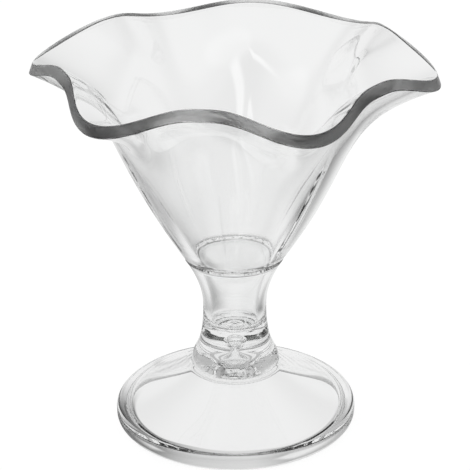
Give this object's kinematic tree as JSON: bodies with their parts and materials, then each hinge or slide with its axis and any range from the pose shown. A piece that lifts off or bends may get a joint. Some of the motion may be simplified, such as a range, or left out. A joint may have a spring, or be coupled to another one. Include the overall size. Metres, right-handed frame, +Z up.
{
  "type": "parfait glass",
  "caption": "Clear footed dessert dish: a fluted bowl with a waved petal lip on a waisted hollow stem and a round hollow foot, for ice cream and layered desserts.",
  "frame": {"origin": "middle of the standing ring's underside, on the table", "axes": "+Z up along the axis of the stem, +X through the tip of a petal"},
  "size_m": [0.1296, 0.1166, 0.1278],
  "materials": {
    "clear_moulding": "clear, glossy, moulded",
    "clear_cement": "clear, slightly cloudy with fine bubbles"
  },
  "bodies": {
    "root": {"bowl": "clear_moulding", "bowl_bond": "clear_cement", "stem": "clear_moulding", "foot_bond": "clear_cement", "foot": "clear_moulding"}
  },
  "joints": []
}
